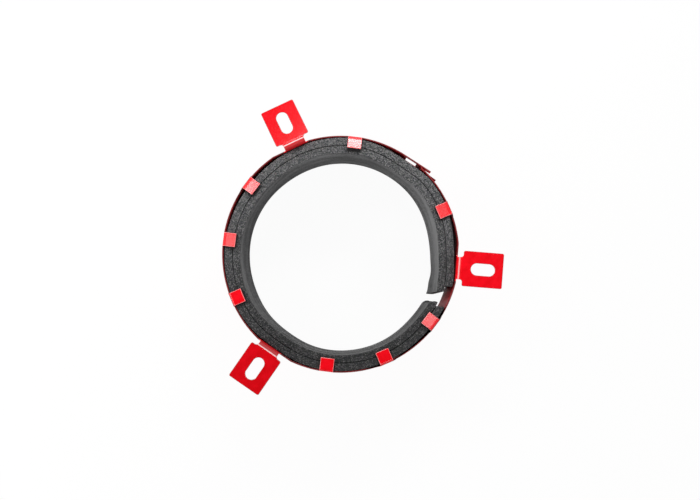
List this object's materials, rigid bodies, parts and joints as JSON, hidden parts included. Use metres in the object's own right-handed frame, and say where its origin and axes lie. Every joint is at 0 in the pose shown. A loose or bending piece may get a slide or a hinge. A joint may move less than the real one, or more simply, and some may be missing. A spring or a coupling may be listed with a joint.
{
  "type": "pipe fire collar",
  "caption": "Red folded steel casing wrapped round intumescent strips, closed by hooks in windows and fixed to a wall or slab by slotted tabs, which seals a plastic pipe's hole in a fire.",
  "frame": {"origin": "on the pipe's axis, level with the room side edge of the rolled steel strip", "axes": "+Z along the pipe, from the room towards the wall or slab that the tabs are fixed to; +X through the neck of one fixing tab"},
  "size_m": [0.1644, 0.1736, 0.0545],
  "materials": {
    "red_steel": "smooth semi-gloss red powder coat",
    "outer_foam": "matt dark grey granular intumescent strip",
    "inner_foam": "matt dark grey granular intumescent strip with a smoother skin"
  },
  "bodies": {
    "root": {"casing": "red_steel", "outer_strip": "outer_foam", "inner_strip": "inner_foam"}
  },
  "joints": []
}
